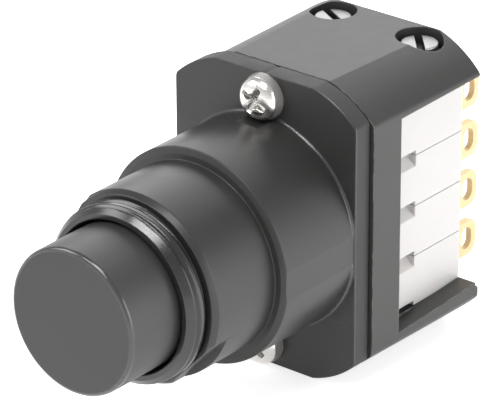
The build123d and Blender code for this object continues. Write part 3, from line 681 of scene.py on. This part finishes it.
def make_surface_group():
    """Moulded or plated surface: colour with faint mottling, lighter edges and fine scratches, and its
    height.

    Mottling and grain are noises in object space. Scratches are thin streaks of a noise stretched along
    one axis. Edges are where the rounded normal of the Bevel node leaves the true one; their lighter colour
    is partly wear and partly a painted highlight. A point attribute adds painted shade to grooves and
    recesses.
    """
    group, start, end = value_group(
        "surface_detail",
        [("Base", "Color", (0.5, 0.5, 0.5, 1)), ("Edge", "Color", (0.6, 0.6, 0.6, 1)),
         ("Mottle", "Float", 0.1), ("Roughness", "Float", 0.4), ("Roughness Spread", "Float", 0.08),
         ("Grain Size", "Float", 0.0004), ("Grain", "Float", 0.3), ("Scratches", "Float", 0.2),
         ("Edge Wear And Highlight", "Float", 0.3), ("Edge Radius", "Float", 0.0002), ("Painted Shade Strength", "Float", 0.85)],
        [("Color", "Color"), ("Roughness", "Float"), ("Height", "Float")],
    )
    given = start.outputs
    place = node(group, "TexCoord").outputs["Object"]
    cloud = noise(group, place, MOTTLE_SCALE, 5.0)
    patch = noise(group, place, PATCH_SCALE, 4.0)
    grain = noise(group, place, maths(group, "DIVIDE", 1.0, given["Grain Size"]), 3.0, 0.6)
    lie = (("Vector", place), ("Rotation", SCRATCH_TURN), ("Scale", SCRATCH_SCALE))
    streaks = noise(group, node(group, "Mapping", lie).outputs[0], 1.0, 1.0)
    scratch = ramp(group, streaks, *SCRATCH_START)
    scratch = maths(group, "MULTIPLY", scratch, ramp(group, cloud, *SCRATCHED_START))
    scratch = maths(group, "MULTIPLY", scratch, given["Scratches"])

    rounded = node(group, "Bevel", (("Radius", given["Edge Radius"]),), samples=BEVEL_SAMPLES).outputs[0]
    true = node(group, "NewGeometry").outputs["Normal"]
    match = vector_maths(group, "DOT_PRODUCT", "Value", (0, rounded), (1, true))
    wear_and_highlight = maths(group, "MULTIPLY", ramp(group, match, *BENT_START), ramp(group, patch, *BROKEN_START))
    wear_and_highlight = maths(group, "MULTIPLY", wear_and_highlight, given["Edge Wear And Highlight"], clamp=True)
    wear_and_highlight = maths(group, "MAXIMUM", wear_and_highlight, maths(group, "MULTIPLY", scratch, SCRATCH_COLOUR))

    cloudy = swing(group, cloud, given["Mottle"])
    grainy = swing(group, grain, maths(group, "MULTIPLY", given["Mottle"], 0.5))
    shade = maths(group, "ADD", maths(group, "ADD", cloudy, grainy), 1.0)
    toned = vector_maths(group, "SCALE", "Vector", (0, given["Base"]), ("Scale", shade))
    mixed = mix_colours(group, wear_and_highlight, toned, given["Edge"])
    # Painted shade of grooves, recesses and the barrel's slope, read from the mesh, darkens the colour
    painted_shade = node(group, "Attribute", attribute_name="painted_shade").outputs["Fac"]
    unshaded = maths(group, "SUBTRACT", 1.0, maths(group, "MULTIPLY", painted_shade, given["Painted Shade Strength"]))
    group.links.new(vector_maths(group, "SCALE", "Vector", (0, mixed), ("Scale", unshaded)), end.inputs["Color"])

    spread = swing(group, patch, maths(group, "MULTIPLY", given["Roughness Spread"], 2.0))
    rough = maths(group, "ADD", given["Roughness"], spread)
    rough = maths(group, "ADD", rough, maths(group, "MULTIPLY", scratch, SCRATCH_ROUGHNESS), clamp=True)
    group.links.new(rough, end.inputs["Roughness"])
    height = maths(group, "MULTIPLY", grain, given["Grain"])
    height = maths(group, "SUBTRACT", height, maths(group, "MULTIPLY", scratch, SCRATCH_DEPTH))
    group.links.new(height, end.inputs["Height"])
    return group


def make_ring_zone_group():
    """Share of a ring zone round the object's Y axis: 1 inside it, falling to 0 over the softness.

    The share is the product of clamp(distance inside / softness + 1/2) for both ends along Y and both radii.
    """
    labels = ("Start Y", "End Y", "Inner Radius", "Outer Radius", "Softness")
    inputs = [(label, "Float", 0.0) for label in labels]
    group, start, end = value_group("ring_zone", inputs, [("Share", "Float")])
    given = start.outputs
    place = node(group, "TexCoord").outputs["Object"]
    flat = vector_maths(group, "MULTIPLY", "Vector", (0, place), (1, (1, 0, 1)))
    reach = vector_maths(group, "LENGTH", "Value", (0, flat))
    along = node(group, "SeparateXYZ", ((0, place),)).outputs["Y"]
    inside = (
        maths(group, "SUBTRACT", along, given["Start Y"]),
        maths(group, "SUBTRACT", given["End Y"], along),
        maths(group, "SUBTRACT", reach, given["Inner Radius"]),
        maths(group, "SUBTRACT", given["Outer Radius"], reach),
    )
    share = 1.0
    for distance in inside:
        part = maths(group, "DIVIDE", distance, given["Softness"])
        share = maths(group, "MULTIPLY", maths(group, "ADD", part, 0.5, clamp=True), share)
    group.links.new(share, end.inputs["Share"])
    return group


SURFACE = make_surface_group()
RING_ZONE = make_ring_zone_group()


def finish_material(name, base, edge, metallic=0.0, coat_roughness=0.03, bump=0.00002, translucent=0.0,
                    **detail):
    """A material on the surface group: Principled shading, grain as bump over softly rounded edges.

    Detail holds inputs of the surface group. A coat shows only where a zone gives it weight.
    """
    material = bpy.data.materials.new(name)
    material.use_nodes = True
    tree = material.node_tree
    shader = tree.nodes["Principled BSDF"]
    surface = tree.nodes.new("ShaderNodeGroup")
    surface.node_tree = SURFACE
    surface.inputs["Base"].default_value = (*base, 1)
    surface.inputs["Edge"].default_value = (*edge, 1)
    for key, value in detail.items():
        surface.inputs[key.replace("_", " ").title()].default_value = value
    edge_radius = surface.inputs["Edge Radius"].default_value
    soft_edge = node(tree, "Bevel", (("Radius", edge_radius),), samples=BEVEL_SAMPLES)
    relief = node(tree, "Bump", (("Strength", 1.0), ("Distance", bump), ("Height", surface.outputs["Height"]),
                                 ("Normal", soft_edge.outputs[0])))
    tree.links.new(surface.outputs["Color"], shader.inputs["Base Color"])
    tree.links.new(surface.outputs["Roughness"], shader.inputs["Roughness"])
    tree.links.new(relief.outputs[0], shader.inputs["Normal"])
    shader.inputs["Metallic"].default_value = metallic
    shader.inputs["Coat Roughness"].default_value = coat_roughness
    shader.inputs["Subsurface Weight"].default_value = translucent
    shader.inputs["Subsurface Scale"].default_value = TRANSLUCENT_DEPTH
    return material


def change_in_zone(material, changes, start_y=-FAR, end_y=FAR, inner_radius=-FAR, outer_radius=FAR):
    """Gives inputs of the material's surface group, or of its shader, other values inside a ring zone."""
    tree = material.node_tree
    shader = tree.nodes["Principled BSDF"]
    surface = next(made for made in tree.nodes if made.type == "GROUP" and made.node_tree == SURFACE)
    zone = tree.nodes.new("ShaderNodeGroup")
    zone.node_tree = RING_ZONE
    for socket, value in zip(zone.inputs, (start_y, end_y, inner_radius, outer_radius, ZONE_SOFTNESS)):
        socket.default_value = value
    for label, value in changes.items():
        target = surface.inputs[label] if label in surface.inputs else shader.inputs[label]
        before = target.links[0].from_socket if target.is_linked else target.default_value
        mix = mix_colours if target.type == "RGBA" else mix_values
        tree.links.new(mix(tree, zone.outputs["Share"], before, value), target)


def make_materials():
    """Every finish of the switch, by a plain name, with its worn and shaded zones."""
    materials = {name: finish_material(name, **look) for name, look in FINISHES.items()}
    for name, limits, changes in WEAR_ZONES:
        change_in_zone(materials[name], changes, **limits)
    return materials


def paint(piece, material):
    """Gives a piece one material in all its slots."""
    piece.data.materials.clear()
    piece.data.materials.append(material)


def paint_construction(materials):
    """Gives each node of the construction its finish, by its name or the longest start of its name."""
    for name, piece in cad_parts.items():
        starts = [start for start in CAD_FINISHES if name.startswith(start)]
        for slot in piece.material_slots:
            slot.material = materials[CAD_FINISHES[max(starts, key=len)]]


def dress(materials):
    """Adds the finer pieces, paints them, hangs each on its body and hides the node that it stands for."""
    moulding = front_moulding()
    paint(moulding, materials["moulded_black"])
    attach(moulding, "housing")
    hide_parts("front_housing")
    for piece, name in front_screws():
        paint(piece, materials["bright_nickel"])
        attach(piece, "housing")
        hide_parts(name)
    clamps = clamp_screws()
    paint(clamps, materials["dull_zinc"])
    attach(clamps, "housing")
    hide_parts("clamp_screws")
    for name, (wire, turns, body, joint, kept) in SPRINGS.items():
        piece = spring(name, wire, turns)
        paint(piece, materials["drawn_steel"])
        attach(piece, body)
        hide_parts(name)
        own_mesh(piece)


def area_light(name, place, target, size, power):
    """A soft box at a place, turned to its target. Size is its width and height."""
    light = bpy.data.lights.new(name, "AREA")
    light.shape = "RECTANGLE"
    light.size, light.size_y = size
    light.energy = power
    lamp = bpy.data.objects.new(name, light)
    bpy.context.scene.collection.objects.link(lamp)
    lamp.location = place
    lamp.rotation_euler = (Vector(target) - Vector(place)).to_track_quat("-Z", "Y").to_euler()


def add_table():
    """A white table under the switch.

    Its colour and glow are even for the camera. For other rays they rise smoothly along the table's way, so
    that the side with the modules takes more light from below than the front does.
    """
    floor_z = CAD_BOX[0][2]
    corners = [(x * TABLE_REACH, y * TABLE_REACH, floor_z) for x, y in ((-1, -1), (1, -1), (1, 1), (-1, 1))]
    mesh = bpy.data.meshes.new("table")
    mesh.from_pydata(corners, [], [(0, 1, 2, 3)])
    table = bpy.data.objects.new("table", mesh)
    bpy.context.scene.collection.objects.link(table)
    material = bpy.data.materials.new("table_white")
    material.use_nodes = True
    tree = material.node_tree
    shader = tree.nodes["Principled BSDF"]
    shader.inputs["Roughness"].default_value = TABLE_ROUGHNESS
    place = node(tree, "TexCoord").outputs["Object"]
    aside = vector_maths(tree, "DOT_PRODUCT", "Value", (0, place), (1, TABLE_WAY))
    lit = ramp(tree, aside, -TABLE_SPAN, TABLE_SPAN, *TABLE_GLOW, kind="SMOOTHSTEP")
    pale = ramp(tree, aside, -TABLE_SPAN, TABLE_SPAN, *TABLE_WHITE, kind="SMOOTHSTEP")
    seen = node(tree, "LightPath").outputs["Is Camera Ray"]
    tree.links.new(mix_values(tree, seen, pale, TABLE_WHITE_SEEN), shader.inputs["Base Color"])
    strength = mix_values(tree, seen, lit, TABLE_GLOW_SEEN)
    glow = node(tree, "Emission", (("Color", (1, 1, 1, 1)), ("Strength", strength)))
    total = node(tree, "AddShader", ((0, shader.outputs[0]), (1, glow.outputs[0])))
    tree.links.new(total.outputs[0], tree.nodes["Material Output"].inputs["Surface"])
    mesh.materials.append(material)


def add_surroundings():
    """A white world that lights the switch more from the side than from above, and is plain to the camera."""
    world = bpy.data.worlds.new("studio")
    bpy.context.scene.world = world
    world.use_nodes = True
    tree = world.node_tree
    ambient = tree.nodes["Background"]
    ambient.inputs["Color"].default_value = (1, 1, 1, 1)
    look = node(tree, "TexCoord").outputs["Generated"]
    rise = node(tree, "SeparateXYZ", ((0, look),)).outputs["Z"]
    strength = ramp(tree, rise, 0.0, AMBIENT_RISE, AMBIENT_LOW, AMBIENT_HIGH, kind="SMOOTHSTEP")
    tree.links.new(strength, ambient.inputs["Strength"])
    backdrop = node(tree, "Background", (("Color", (1, 1, 1, 1)), ("Strength", BACKDROP)))
    seen = node(tree, "LightPath").outputs["Is Camera Ray"]
    pick = node(tree, "MixShader", ((0, seen), (1, ambient.outputs[0]), (2, backdrop.outputs[0])))
    tree.links.new(pick.outputs[0], tree.nodes["World Output"].inputs["Surface"])


def build_stage():
    """Table, surroundings and soft boxes."""
    add_table()
    add_surroundings()
    for name, (place, target, size, power) in LIGHTS.items():
        area_light(name, place, target, size, power)


def set_camera():
    """The photograph's camera: a long lens at the fitted direction and distance, aimed beside the plate."""
    camera = bpy.data.cameras.new("photo_camera")
    camera.lens = CAMERA_LENS
    camera.sensor_width = CAMERA_SENSOR
    camera.clip_start = CAMERA_NEAR
    shot = bpy.data.objects.new("photo_camera", camera)
    bpy.context.scene.collection.objects.link(shot)
    back = Vector((sin(CAMERA_AZIMUTH) * cos(CAMERA_ELEVATION), -cos(CAMERA_AZIMUTH) * cos(CAMERA_ELEVATION),
                   sin(CAMERA_ELEVATION)))
    level = Vector((cos(CAMERA_AZIMUTH), sin(CAMERA_AZIMUTH), 0))
    upright = back.cross(level)
    right = cos(CAMERA_ROLL) * level + sin(CAMERA_ROLL) * upright
    up = cos(CAMERA_ROLL) * upright - sin(CAMERA_ROLL) * level
    aside = CAMERA_ASIDE[0] * right + CAMERA_ASIDE[1] * up
    place = CAMERA_TARGET + CAMERA_DISTANCE * (back - aside)
    turn = Matrix((right, up, back)).transposed().to_4x4()
    shot.matrix_world = Matrix.Translation(place) @ turn
    bpy.context.scene.camera = shot
    bpy.context.scene.view_settings.view_transform = "Standard"


finishes = make_materials()
paint_construction(finishes)
dress(finishes)
build_stage()
set_camera()
